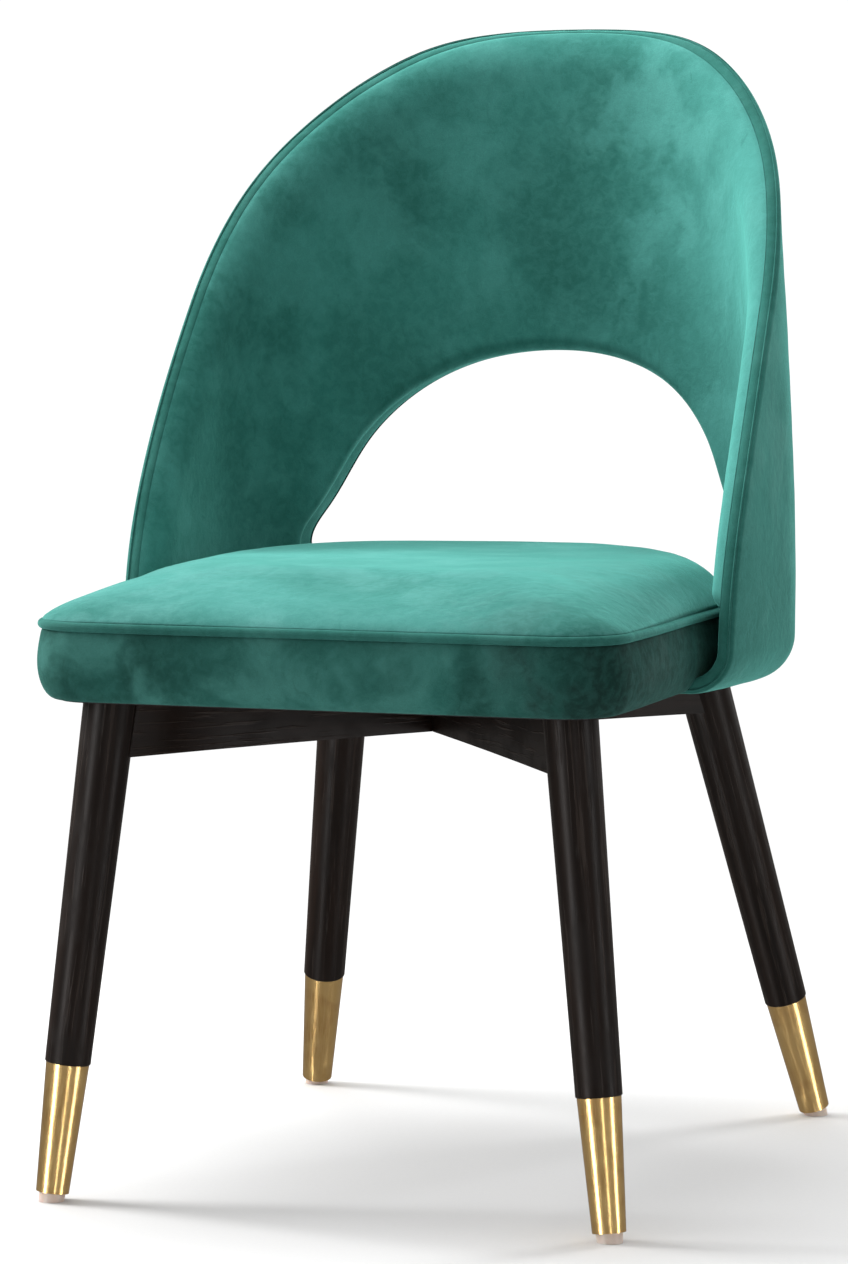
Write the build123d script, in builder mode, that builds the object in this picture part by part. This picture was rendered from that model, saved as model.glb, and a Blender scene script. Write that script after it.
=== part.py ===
"""Dining chair: round legs, a cross-rail frame, an upholstered seat and a barrel back with a cut-out.

Millimetres, +Z up, the sitter faces -Y, origin on the floor under the middle of the chair's outline.
Each piece is one file in parts/.
"""

from build123d import *
from math import cos, radians
import os

os.makedirs("parts", exist_ok=True)

# ---------------------------------------------------------------- driving dimensions

# heights
FRAME_TOP = 371.0  # leg tops and rail tops, under the seat
BOARD_BOTTOM = 373.5
BOARD_THICK = 18.0
SEAM_HEIGHT = 427.0  # the piping round the seat's top edge
CROWN_RISE = 40.0  # seat crown above the seam
SHELL_BOTTOM = 371.0

# legs: (x, y) of each axis on the floor and at AXIS_HEIGHT, for the legs on the +X side
AXIS_HEIGHT = 391.4
FRONT_FOOT = (216.1, -271.0)
FRONT_HEAD = (175.1, -244.5)
BACK_FOOT = (216.6, 266.0)
BACK_HEAD = (144.6, 154.0)
LEG_RADIUS_HEAD = 20.1  # at AXIS_HEIGHT
LEG_RADIUS_LOW = 16.9  # just above the ferrule
LEG_EDGE = 0.8
HEAD_SPARE = 40.0  # leg length above AXIS_HEIGHT before the head is cut
FERRULE_FROM = 7.0  # measured along the leg's axis
FERRULE_TO = 103.0
FERRULE_RADIUS_TOP = 16.0
FERRULE_RADIUS_END = 12.2
FERRULE_WALL = 1.2
GLIDE_RADIUS_TOP = 9.8
GLIDE_RADIUS_END = 8.8
NAIL_RADIUS = 1.5
NAIL_FROM = 3.5
NAIL_TO = 26.0

# cross rails
RAIL_THICK = 24.0
RAIL_BOTTOM_FRONT = 327.5
RAIL_BOTTOM_MIDDLE = 333.5
RAIL_BOTTOM_BACK = 334.5
CROSSING_Y = -26.0
RAIL_JOINT_HEIGHT = 350.0  # the rail ends aim at the leg axes at this height
LAP_HEIGHT = 352.0  # the two rails are halved over each other here
LAP_FIT = 0.1  # clearance on each face of the halved joint
DOWEL_RADIUS = 4.0
DOWEL_LENGTH = 32.0
DOWEL_HEIGHTS = (341.0, 360.0)

# bolts that hold the rails to the seat board
BOLT_REACH = 78.0  # from the crossing, along each arm
BOLT_HEAD_RADIUS = 5.5
BOLT_HEAD_THICK = 3.5
BOLT_HEAD_BOTTOM = 348.0
BOLT_RADIUS = 3.0
COUNTERBORE_RADIUS = 7.0
TEE_BARREL_RADIUS = 4.5
TEE_BARREL_LENGTH = 12.0
TEE_FLANGE_RADIUS = 10.0
TEE_FLANGE_THICK = 1.5

# seat plan, the half on the +X side
SEAT_FRONT = -302.0
SEAT_REAR = 202.0
SEAT_HALF_FRONT = 223.5
SEAT_HALF_MIDDLE = 217.0
SEAT_HALF_WAIST = 204.0
SEAT_MIDDLE_Y = -84.0
SEAT_SHOULDER = (148.0, 148.0)
SEAT_CORNER = 46.0
CORNER_LEAST = 8.0
COVER_THICK = 1.5
BOXING_ROUND = 11.0
BOARD_INSET = 14.0
RETURN_WIDTH = 24.0
DUST_COVER_INSET = 14.0
PIPING_RADIUS = 3.6
CROWN_STEPS = (  # (inset, share of the rise, further setback at the front)
    (0.0, 0.0, 0.0),
    (9.0, 0.4, 16.0),
    (28.0, 0.75, 58.0),
    (66.0, 1.0, 118.0),
)

# back shell plan: half ellipses about a widest line, at a few heights
WIDEST_Y = 54.0
FRONT_REACH = 556.0  # the long half ellipse ahead of the widest line
REAR_AT_SEAM = 241.5
SEAM_LEVEL = 443.0
LEAN = 0.1484  # rearward lean per unit of height
SHELL_STATIONS = (  # (height, half width)
    (350.0, 250.5),
    (470.0, 250.0),
    (600.0, 243.2),
    (740.0, 234.0),
    (890.0, 231.0),
)
SHELL_ROUND = 33.0  # the rounded lower edge
FLANGE_INSET = 100.0  # how far the shell reaches under the seat
OUTER_COVER = 3.0
SHELL_PLY = 8.0
PAD_THICK = 14.5
PLY_FROM = OUTER_COVER
PLY_TO = OUTER_COVER + SHELL_PLY
PAD_TO = PLY_TO + PAD_THICK
INNER_TO = PAD_TO + COVER_THICK
PAD_BOTTOM = 432.0
BAND_THICK = 2.5

# rim of the back, seen from the side: (y, z) from the seat up to the top edge
RIM_POINTS = (
    (-72, 369),
    (-66, 441),
    (-22, 545),
    (49, 652),
    (127, 745),
    (192, 802),
    (247, 845),
    (308, 875),
)
RIM_START = (0.0, 1.0)
RIM_END = (1.0, 0.12)

# arched cut-out, seen from the front: half outline from the lower corner up to the crown
HOLE_BOTTOM = 434.0
HOLE_CORNER = 22.0
HOLE_HALF_WIDTH = 187.0
HOLE_POINTS = ((187, 457), (176, 489), (149, 543), (100, 591))
HOLE_TOP = 615.5
HOLE_FROM_Y = 60.0
WRAP = 2.0  # the inner cover's lip over the shell's cut edge

# screws through the shell's flange into the seat board
SCREW_RADIUS = 2.0
SCREW_HEAD_RADIUS = 4.0
SCREW_HEAD_THICK = 2.2
SCREW_LENGTH = 15.0
SCREW_PLACES = ((165, 0), (158, 85), (93, 150), (33, 170))

FAR = 700.0  # longer than the chair, for cutting tools
EVEN_ENDS = (1.0, 1.0)  # a spline leaves its ends at the pace of its chords
QUARTER_TURN = 90
HALF_TURN = 180
DIAGONAL = cos(radians(QUARTER_TURN / 2))  # x or y share of a diagonal step


# ---------------------------------------------------------------- helpers


def finish(part, name):
    """Name a finished piece and write its file."""
    part.label = name
    export_step(part, f"parts/{name}.step")


def leg_plane(foot, head, side):
    """Plane on the floor at a leg's foot, its normal along the leg's axis."""
    run_x = (head[0] - foot[0]) * side
    run_y = head[1] - foot[1]
    return Plane(origin=(foot[0] * side, foot[1], 0), z_dir=(run_x, run_y, AXIS_HEIGHT))


def axis_point(foot, head, side, height):
    """Point of a leg's axis at a height above the floor."""
    share = height / AXIS_HEIGHT
    x = (foot[0] + (head[0] - foot[0]) * share) * side
    y = foot[1] + (head[1] - foot[1]) * share
    return Vector(x, y, height)


def turned(plane, profile):
    """Solid of revolution about a plane's normal, from (radius, distance along the axis) points."""
    section = Plane(origin=plane.origin, x_dir=plane.x_dir, z_dir=-plane.y_dir)
    with BuildPart() as solid:
        with BuildSketch(section):
            with BuildLine():
                Polyline(*profile, close=True)
            make_face()
        revolve(axis=Axis(plane.origin, plane.z_dir))
    return solid.part


def seat_sketch(height, inset, setback=0.0):
    """The seat's outline at a height: straight front, round corners, sides that run into a round rear."""
    corner = max(SEAT_CORNER - inset, CORNER_LEAST)
    half_front = SEAT_HALF_FRONT - inset
    front = SEAT_FRONT + inset + setback
    shoulder_inset = inset * DIAGONAL
    side_points = (
        (half_front, front + corner),
        (SEAT_HALF_MIDDLE - inset, SEAT_MIDDLE_Y),
        (SEAT_HALF_WAIST - inset, WIDEST_Y),
        (SEAT_SHOULDER[0] - shoulder_inset, SEAT_SHOULDER[1] - shoulder_inset),
        (0, SEAT_REAR - inset),
    )
    with BuildSketch(Plane.XY.offset(height)) as outline:
        with BuildLine():
            Line((0, front), (half_front - corner, front))
            CenterArc(
                (half_front - corner, front + corner),
                corner,
                start_angle=-QUARTER_TURN,
                arc_size=QUARTER_TURN,
            )
            Spline(*side_points, tangents=[(0, 1), (-1, 0)], tangent_scalars=EVEN_ENDS)
            mirror(about=Plane.YZ)
        make_face()
    return outline.sketch


def seat_prism(inset, bottom, top):
    """Upright block with the seat's outline, inset by a distance."""
    with BuildPart() as block:
        add(seat_sketch(bottom, inset))
        extrude(amount=top - bottom)
    return block.part


def seat_crown(inset):
    """Domed block above the seam; an inset shrinks it on every side."""
    with BuildPart() as crown:
        for step, share, setback in CROWN_STEPS:
            level = SEAM_HEIGHT + (CROWN_RISE - inset) * share
            add(seat_sketch(level, inset + step, setback))
        loft()
    return crown.part


def shell_sketch(height, half_width, inset):
    """Plan of the shell's outside at a height, as a closed oval, inset by a distance."""
    rear_reach = REAR_AT_SEAM + LEAN * (height - SEAM_LEVEL) - WIDEST_Y - inset
    centre = (0, WIDEST_Y)
    with BuildSketch(Plane.XY.offset(height)) as outline:
        with BuildLine():
            EllipticalCenterArc(
                centre,
                half_width - inset,
                rear_reach,
                start_angle=0,
                arc_size=HALF_TURN,
            )
            EllipticalCenterArc(
                centre,
                half_width - inset,
                FRONT_REACH - inset,
                start_angle=HALF_TURN,
                arc_size=HALF_TURN,
            )
        make_face()
    return outline.sketch


def shell_body(inset, rounded=True):
    """The solid inside one surface of the shell, closed below with a rounded edge."""
    with BuildPart() as body:
        for height, half_width in SHELL_STATIONS:
            add(shell_sketch(height, half_width, inset))
        loft()
        split(bisect_by=Plane.XY.offset(SHELL_BOTTOM + inset), keep=Keep.TOP)
        if rounded:
            fillet(body.faces().sort_by(Axis.Z)[0].edges(), SHELL_ROUND - inset)
    return body.part


def rim_cutter(depth):
    """Everything ahead of and above the back's rim, moved into the back by a depth."""
    step = depth * DIAGONAL
    points = [(y + step, z - step) for y, z in RIM_POINTS]
    first = points[0]
    last = points[-1]
    with BuildPart() as cutter:
        with BuildSketch(Plane.YZ):
            with BuildLine():
                Spline(*points, tangents=[RIM_START, RIM_END], tangent_scalars=EVEN_ENDS)
                Polyline(
                    last,
                    (FAR, last[1]),
                    (FAR, 2 * FAR),
                    (-FAR, 2 * FAR),
                    (-FAR, 0),
                    (first[0], 0),
                    first,
                )
            make_face()
        extrude(amount=FAR, both=True)
    return cutter.part


def hole_cutter(grow):
    """The arched cut-out through the back, grown by a distance."""
    bottom = HOLE_BOTTOM - grow
    half_width = HOLE_HALF_WIDTH + grow
    arch = [(x + grow, z) for x, z in HOLE_POINTS]
    corner = (half_width - HOLE_CORNER, bottom)
    with BuildPart() as cutter:
        with BuildSketch(Plane.XZ.offset(-HOLE_FROM_Y)):
            with BuildLine():
                Line((0, bottom), corner)
                Spline(
                    corner,
                    *arch,
                    (0, HOLE_TOP + grow),
                    tangents=[(1, 0), (-1, 0)],
                    tangent_scalars=EVEN_ENDS,
                )
                mirror(about=Plane.YZ)
            make_face()
        extrude(amount=-FAR)
    return cutter.part


def flange_hole(inset):
    """Opening in the shell's floor, under the middle of the seat."""
    height, half_width = SHELL_STATIONS[0]
    with BuildPart() as cutter:
        add(shell_sketch(height, half_width, inset))
        extrude(amount=SEAM_HEIGHT - height)
    return cutter.part


def upright(x, y, radius, bottom, top):
    """Upright round tool."""
    with BuildPart() as pin:
        with BuildSketch(Plane((x, y, bottom))):
            Circle(radius)
        extrude(amount=top - bottom)
    return pin.part


# ---------------------------------------------------------------- legs, ferrules and glides

LEGS = {
    "front_left": (FRONT_FOOT, FRONT_HEAD, -1),
    "front_right": (FRONT_FOOT, FRONT_HEAD, 1),
    "back_left": (BACK_FOOT, BACK_HEAD, -1),
    "back_right": (BACK_FOOT, BACK_HEAD, 1),
}
LEG_PAIRS = {"left": ("front_left", "back_right"), "right": ("front_right", "back_left")}
SPIGOT_GAP = FERRULE_FROM + FERRULE_WALL
SPIGOT_TOP = FERRULE_RADIUS_TOP - FERRULE_WALL
SPIGOT_END = FERRULE_RADIUS_END - FERRULE_WALL
HEAD_REACH = AXIS_HEIGHT + HEAD_SPARE

leg_blanks = {}
nails = []
for place, (foot, head, side) in LEGS.items():
    plane = leg_plane(foot, head, side)
    growth = (LEG_RADIUS_HEAD - LEG_RADIUS_LOW) / (AXIS_HEIGHT - FERRULE_TO)
    radius_end = LEG_RADIUS_LOW + growth * (HEAD_REACH - FERRULE_TO)
    leg_profile = (
        (0, SPIGOT_GAP),
        (SPIGOT_END, SPIGOT_GAP),
        (SPIGOT_TOP, FERRULE_TO),
        (LEG_RADIUS_LOW - LEG_EDGE, FERRULE_TO),
        (LEG_RADIUS_LOW, FERRULE_TO + LEG_EDGE),
        (radius_end, HEAD_REACH),
        (0, HEAD_REACH),
    )
    ferrule_profile = (
        (0, FERRULE_FROM),
        (FERRULE_RADIUS_END, FERRULE_FROM),
        (FERRULE_RADIUS_TOP, FERRULE_TO),
        (SPIGOT_TOP, FERRULE_TO),
        (SPIGOT_END, SPIGOT_GAP),
        (0, SPIGOT_GAP),
    )
    glide_profile = (
        (0, -FERRULE_FROM),
        (GLIDE_RADIUS_END, -FERRULE_FROM),
        (GLIDE_RADIUS_TOP, FERRULE_FROM),
        (0, FERRULE_FROM),
    )
    nail_profile = (
        (0, NAIL_FROM),
        (NAIL_RADIUS, NAIL_FROM),
        (NAIL_RADIUS, NAIL_TO),
        (0, NAIL_TO),
    )
    nail = turned(plane, nail_profile)
    nails.append(nail)
    leg_blanks[place] = turned(plane, leg_profile) - nail

    with BuildPart() as ferrule:
        add(turned(plane, ferrule_profile))
        add(nail, mode=Mode.SUBTRACT)
    finish(ferrule.part, f"ferrule_{place}")

    with BuildPart() as glide:
        add(turned(plane, glide_profile))
        split(bisect_by=Plane.XY, keep=Keep.TOP)
        add(nail, mode=Mode.SUBTRACT)
    finish(glide.part, f"glide_{place}")

with BuildPart() as glide_nails:
    for nail in nails:
        add(nail)
finish(glide_nails.part, "glide_nails")

# ---------------------------------------------------------------- cross rails, dowels and bolts


def rail_ends(pair):
    """Ends of one rail's centre line, on the axes of a front leg and the opposite back leg."""
    front, back = LEG_PAIRS[pair]
    return axis_point(*LEGS[front], RAIL_JOINT_HEIGHT), axis_point(*LEGS[back], RAIL_JOINT_HEIGHT)


def arm_direction(end):
    """Level direction from the crossing to a rail's end."""
    flat = Vector(end.X, end.Y - CROSSING_Y, 0)
    return flat.normalized()


def rail_blank(pair, thickness):
    """One rail, full height, before it is halved over the other."""
    front, back = rail_ends(pair)
    along = (back - front).normalized()
    along = Vector(along.X, along.Y, 0).normalized()
    across = Vector(-along.Y, along.X, 0)
    origin = Vector(0, CROSSING_Y, 0)
    reach_front = -Vector(front.X, front.Y - CROSSING_Y, 0).length
    reach_back = Vector(back.X, back.Y - CROSSING_Y, 0).length
    with BuildPart() as rail:
        with BuildSketch(Plane(origin=origin, x_dir=along, z_dir=-across)):
            with BuildLine():
                ThreePointArc(
                    (reach_front, RAIL_BOTTOM_FRONT),
                    (0, RAIL_BOTTOM_MIDDLE),
                    (reach_back, RAIL_BOTTOM_BACK),
                )
                Polyline(
                    (reach_back, RAIL_BOTTOM_BACK),
                    (reach_back, FRAME_TOP),
                    (reach_front, FRAME_TOP),
                    (reach_front, RAIL_BOTTOM_FRONT),
                )
            make_face()
        extrude(amount=thickness / 2, both=True)
    return rail.part


def lap_block(bottom, top):
    """Slab between two heights, used to halve the rails."""
    with BuildPart() as slab:
        with BuildSketch(Plane.XY.offset(bottom)):
            Rectangle(FAR, FAR)
        extrude(amount=top - bottom)
    return slab.part


def dowel_pair(pair):
    """Two dowels at each end of a rail, half in the leg and half in the rail."""
    made = []
    for end in rail_ends(pair):
        inward = -arm_direction(end)
        start = Vector(end.X, end.Y, 0) + inward * (LEG_RADIUS_HEAD - DOWEL_LENGTH / 2)
        for height in DOWEL_HEIGHTS:
            with BuildPart() as dowel:
                with BuildSketch(Plane(origin=start + Vector(0, 0, height), z_dir=inward)):
                    Circle(DOWEL_RADIUS)
                extrude(amount=DOWEL_LENGTH)
            made.append(dowel.part)
    return made


dowels = {pair: dowel_pair(pair) for pair in LEG_PAIRS}
every_dowel = dowels["left"] + dowels["right"]
with BuildPart() as rail_dowels:
    for dowel in every_dowel:
        add(dowel)
finish(rail_dowels.part, "rail_dowels")

bolt_places = []
for pair in LEG_PAIRS:
    for end in rail_ends(pair):
        reach = arm_direction(end) * BOLT_REACH
        bolt_places.append((reach.X, CROSSING_Y + reach.Y))

BOARD_TOP = BOARD_BOTTOM + BOARD_THICK
BOLT_HEAD_TOP = BOLT_HEAD_BOTTOM + BOLT_HEAD_THICK


def at_bolts(radius, bottom, top):
    """The same upright round tool at each bolt."""
    return [upright(x, y, radius, bottom, top) for x, y in bolt_places]


bolt_heads = at_bolts(BOLT_HEAD_RADIUS, BOLT_HEAD_BOTTOM, BOLT_HEAD_TOP)
bolt_shanks = at_bolts(BOLT_RADIUS, BOLT_HEAD_BOTTOM, BOARD_TOP)
counterbores = at_bolts(COUNTERBORE_RADIUS, 0, BOLT_HEAD_TOP)
tee_flanges = at_bolts(TEE_FLANGE_RADIUS, BOARD_TOP - TEE_FLANGE_THICK, BOARD_TOP)
tee_barrels = at_bolts(TEE_BARREL_RADIUS, BOARD_TOP - TEE_BARREL_LENGTH, BOARD_TOP)

with BuildPart() as frame_bolts:
    for piece in bolt_heads + bolt_shanks:
        add(piece)
finish(frame_bolts.part, "frame_bolts")

with BuildPart() as tee_nuts:
    for piece in tee_flanges + tee_barrels:
        add(piece)
    for shank in bolt_shanks:
        add(shank, mode=Mode.SUBTRACT)
finish(tee_nuts.part, "tee_nuts")

LAPS = {
    "left": ("right", LAP_HEIGHT, FRAME_TOP),
    "right": ("left", 0, LAP_HEIGHT + LAP_FIT),
}
for pair, (other, lap_bottom, lap_top) in LAPS.items():
    notch = rail_blank(other, RAIL_THICK + 2 * LAP_FIT) & lap_block(lap_bottom, lap_top)
    with BuildPart() as cross_rail:
        add(rail_blank(pair, RAIL_THICK))
        add(notch, mode=Mode.SUBTRACT)
        for place in LEG_PAIRS[pair]:
            add(leg_blanks[place], mode=Mode.SUBTRACT)
        for tool in every_dowel + counterbores + bolt_shanks:
            add(tool, mode=Mode.SUBTRACT)
    finish(cross_rail.part, f"cross_rail_{pair}")

# ---------------------------------------------------------------- back shell and its covers

outside = shell_body(0)
ply_outside = shell_body(PLY_FROM)
ply_inside = shell_body(PLY_TO)
pad_inside = shell_body(PAD_TO, rounded=False)
inner_face = shell_body(INNER_TO, rounded=False)
floor_opening = flange_hole(FLANGE_INSET)

SCREW_LEVEL = SHELL_BOTTOM + PLY_FROM
screws = []
for x, y in SCREW_PLACES:
    for side in (-1, 1):
        with BuildPart() as screw:
            with BuildSketch(Plane((x * side, y, SCREW_LEVEL))):
                Circle(SCREW_HEAD_RADIUS)
            with BuildSketch(Plane((x * side, y, SCREW_LEVEL + SCREW_HEAD_THICK))):
                Circle(SCREW_RADIUS)
            loft()
            with BuildSketch(Plane((x * side, y, SCREW_LEVEL))):
                Circle(SCREW_RADIUS)
            extrude(amount=SCREW_LENGTH)
        screws.append(screw.part)
with BuildPart() as shell_screws:
    for screw in screws:
        add(screw)
finish(shell_screws.part, "shell_screws")

with BuildPart() as outer_cover:
    add(outside)
    add(ply_outside, mode=Mode.SUBTRACT)
    add(rim_cutter(0), mode=Mode.SUBTRACT)
    add(hole_cutter(0), mode=Mode.SUBTRACT)
    add(floor_opening, mode=Mode.SUBTRACT)
finish(outer_cover.part, "back_outer_cover")

with BuildPart() as shell_ply:
    add(ply_outside)
    add(ply_inside, mode=Mode.SUBTRACT)
    add(rim_cutter(BAND_THICK), mode=Mode.SUBTRACT)
    add(hole_cutter(WRAP), mode=Mode.SUBTRACT)
    add(floor_opening, mode=Mode.SUBTRACT)
    for screw in screws:
        add(screw, mode=Mode.SUBTRACT)
finish(shell_ply.part, "back_shell_ply")

with BuildPart() as rim_band:
    add(ply_outside)
    add(ply_inside, mode=Mode.SUBTRACT)
    add(rim_cutter(0), mode=Mode.SUBTRACT)
    add(rim_cutter(BAND_THICK), mode=Mode.INTERSECT)
    add(floor_opening, mode=Mode.SUBTRACT)
finish(rim_band.part, "back_rim_band")

with BuildPart() as pad:
    add(ply_inside)
    add(pad_inside, mode=Mode.SUBTRACT)
    add(rim_cutter(COVER_THICK), mode=Mode.SUBTRACT)
    add(hole_cutter(WRAP), mode=Mode.SUBTRACT)
    split(bisect_by=Plane.XY.offset(PAD_BOTTOM + COVER_THICK), keep=Keep.TOP)
finish(pad.part, "back_pad_foam")

with BuildPart() as hole_lip:
    add(ply_outside)
    add(pad_inside, mode=Mode.SUBTRACT)
    add(hole_cutter(WRAP), mode=Mode.INTERSECT)
    add(hole_cutter(0), mode=Mode.SUBTRACT)

with BuildPart() as rim_lip:
    add(ply_inside)
    add(pad_inside, mode=Mode.SUBTRACT)
    add(rim_cutter(COVER_THICK), mode=Mode.INTERSECT)
    add(rim_cutter(0), mode=Mode.SUBTRACT)
    split(bisect_by=Plane.XY.offset(PAD_BOTTOM), keep=Keep.TOP)

with BuildPart() as inner_cover:
    add(pad_inside)
    add(inner_face, mode=Mode.SUBTRACT)
    add(rim_cutter(0), mode=Mode.SUBTRACT)
    add(hole_cutter(0), mode=Mode.SUBTRACT)
    split(bisect_by=Plane.XY.offset(PAD_BOTTOM), keep=Keep.TOP)
    add(hole_lip.part)
    add(rim_lip.part)
finish(inner_cover.part, "back_inner_cover")

# ---------------------------------------------------------------- seat

shell_pieces = [outer_cover.part, shell_ply.part, rim_band.part]

seam_wire = seat_sketch(SEAM_HEIGHT, 0).faces()[0].outer_wire()
with BuildPart() as piping:
    with BuildSketch(Plane(origin=seam_wire @ 0, z_dir=seam_wire % 0)) as cord:
        Circle(PIPING_RADIUS)
    sweep(sections=cord.sketch, path=seam_wire)
piping_part = piping.part
finish(piping_part, "seat_piping")

with BuildPart() as board:
    add(seat_prism(BOARD_INSET, BOARD_BOTTOM, BOARD_TOP))
    for tool in shell_pieces + screws + bolt_shanks + tee_flanges + tee_barrels:
        add(tool, mode=Mode.SUBTRACT)
finish(board.part, "seat_board")

foam_block = seat_prism(COVER_THICK, BOARD_BOTTOM, SEAM_HEIGHT)
with BuildPart() as foam:
    add(foam_block)
    fillet(foam.faces().sort_by(Axis.Z)[0].edges(), BOXING_ROUND - COVER_THICK)
    add(seat_crown(COVER_THICK))
    add(seat_prism(BOARD_INSET, BOARD_BOTTOM, BOARD_TOP), mode=Mode.SUBTRACT)
    add(piping_part, mode=Mode.SUBTRACT)
    for tool in shell_pieces:
        add(tool, mode=Mode.SUBTRACT)
finish(foam.part, "seat_foam")

with BuildPart() as boxing_core:
    add(foam_block)
    fillet(boxing_core.faces().sort_by(Axis.Z)[0].edges(), BOXING_ROUND - COVER_THICK)

BOXING_BOTTOM = BOARD_BOTTOM - COVER_THICK
with BuildPart() as boxing:
    add(seat_prism(0, BOXING_BOTTOM, SEAM_HEIGHT))
    fillet(boxing.faces().sort_by(Axis.Z)[0].edges(), BOXING_ROUND)
    add(boxing_core.part, mode=Mode.SUBTRACT)
    add(seat_prism(RETURN_WIDTH, BOXING_BOTTOM, SEAM_HEIGHT), mode=Mode.SUBTRACT)
    add(piping_part, mode=Mode.SUBTRACT)
    for tool in shell_pieces:
        add(tool, mode=Mode.SUBTRACT)
finish(boxing.part, "seat_boxing")

with BuildPart() as top_cover:
    add(seat_crown(0))
    add(seat_crown(COVER_THICK), mode=Mode.SUBTRACT)
    add(piping_part, mode=Mode.SUBTRACT)
finish(top_cover.part, "seat_top_cover")

with BuildPart() as dust_cover:
    add(seat_prism(DUST_COVER_INSET, FRAME_TOP, BOARD_BOTTOM))
    for tool in [boxing.part] + shell_pieces + screws + bolt_shanks:
        add(tool, mode=Mode.SUBTRACT)
finish(dust_cover.part, "dust_cover")

# ---------------------------------------------------------------- legs, cut to the seat above them

for place, blank in leg_blanks.items():
    with BuildPart() as leg:
        add(blank)
        if place.startswith("front"):
            split(bisect_by=Plane.XY.offset(FRAME_TOP), keep=Keep.BOTTOM)
        else:
            add(outside, mode=Mode.SUBTRACT)
        for dowel in every_dowel:
            add(dowel, mode=Mode.SUBTRACT)
    finish(leg.part, f"leg_{place}")
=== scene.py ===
"""Looks of the dining chair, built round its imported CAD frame.

Metres in the shared frame: +Z up, the sitter faces -Y, origin on the floor under the chair.
Shapes are worked out in millimetres and written to the meshes in metres.
"""

import math

import bpy
import numpy as np
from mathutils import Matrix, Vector


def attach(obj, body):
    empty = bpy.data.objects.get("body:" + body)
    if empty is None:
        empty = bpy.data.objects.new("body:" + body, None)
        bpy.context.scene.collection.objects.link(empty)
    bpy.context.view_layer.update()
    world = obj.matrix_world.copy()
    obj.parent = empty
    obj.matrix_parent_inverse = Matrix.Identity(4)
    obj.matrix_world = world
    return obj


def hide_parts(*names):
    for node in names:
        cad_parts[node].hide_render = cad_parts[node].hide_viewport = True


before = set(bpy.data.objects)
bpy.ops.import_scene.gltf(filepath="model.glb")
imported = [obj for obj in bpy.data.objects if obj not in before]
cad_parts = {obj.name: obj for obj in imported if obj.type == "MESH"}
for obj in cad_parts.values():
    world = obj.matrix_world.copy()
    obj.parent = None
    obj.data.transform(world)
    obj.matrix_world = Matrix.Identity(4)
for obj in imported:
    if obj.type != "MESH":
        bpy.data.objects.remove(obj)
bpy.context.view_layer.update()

MM = 0.001
QUARTER_TURN = math.pi / 2

# ---------------------------------------------------------------- sizes, in millimetres

# The seat: its outline from above, the level of the seam under the cord, and the crown's rise.
SEAT_FRONT = -302.0
SEAT_CORNER = 46.0
SEAT_SIDE = ((223.5, -256.0), (217.0, -84.0), (204.0, 54.0), (148.0, 148.0), (0.0, 202.0))
SEAM_Z = 427.0
CROWN = 36.5
CORD_RADIUS = 3.5

# The back shell: half widths at heights, a lean at the rear, and a rounded lower edge.
SHELL_BOTTOM, SHELL_ROUND = 371.0, 33.0
SHELL_LEVEL = SHELL_BOTTOM + SHELL_ROUND
SHELL_TURN = SHELL_ROUND * QUARTER_TURN
UNDER = 26.0
WIDEST_Y, FRONT_REACH = 54.0, 556.0
REAR_AT_SEAM, SEAM_LEVEL, LEAN = 241.5, 443.0, 0.1484
STATIONS = ((350.0, 250.5), (470.0, 250.0), (600.0, 243.2), (740.0, 234.0), (890.0, 231.0))

# The rim seen from the side as y and z, and the right half of the cut-out as x and z.
RIM = (
    (-72, 369),
    (-66, 441),
    (-22, 545),
    (49, 652),
    (127, 745),
    (192, 802),
    (247, 845),
    (308, 875),
)
HOLE_FLOOR = 434.0
HOLE = ((165, HOLE_FLOOR), (187, 457), (176, 489), (149, 543), (100, 591), (0, 615.5))
HOLE_MIDDLE = (0.0, 0.0, 520.0)

# The pad on the inside of the shell: the depth it starts at, its thickness and its lower end.
PAD_DEPTH = 11.0
PAD_RISE = 16.8
PAD_BOTTOM = 432.0

# ---------------------------------------------------------------- curves

RIPPLE_WAVES, RIPPLE_PEAK = 9, 4.2


def unit(vectors):
    """Rows scaled to length 1."""
    return vectors / np.linalg.norm(vectors, axis=1)[:, None]


def clamped_spline(points, start, end, count):
    """Points along the smooth curve through the given ones, with the given end directions."""
    p = np.array(points, float)
    span = np.linalg.norm(np.diff(p, axis=0), axis=1)
    knots = np.concatenate([[0.0], np.cumsum(span)])
    n = len(p)
    matrix, right = np.zeros((n, n)), np.zeros((n, p.shape[1]))
    matrix[0, 0] = matrix[-1, -1] = 1.0
    right[0] = np.array(start, float) / np.linalg.norm(start)
    right[-1] = np.array(end, float) / np.linalg.norm(end)
    for i in range(1, n - 1):
        before, after = span[i - 1], span[i]
        matrix[i, i - 1], matrix[i, i], matrix[i, i + 1] = after, 2 * (before + after), before
        right[i] = 3 * (after * (p[i] - p[i - 1]) / before + before * (p[i + 1] - p[i]) / after)
    slope = np.linalg.solve(matrix, right)
    where = np.linspace(0, knots[-1], count)
    k = np.clip(np.searchsorted(knots, where, side="right") - 1, 0, n - 2)
    u = ((where - knots[k]) / span[k])[:, None]
    h = span[k][:, None]
    return (
        (2 * u**3 - 3 * u**2 + 1) * p[k]
        + (u**3 - 2 * u**2 + u) * h * slope[k]
        + (3 * u**2 - 2 * u**3) * p[k + 1]
        + (u**3 - u**2) * h * slope[k + 1]
    )


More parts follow.
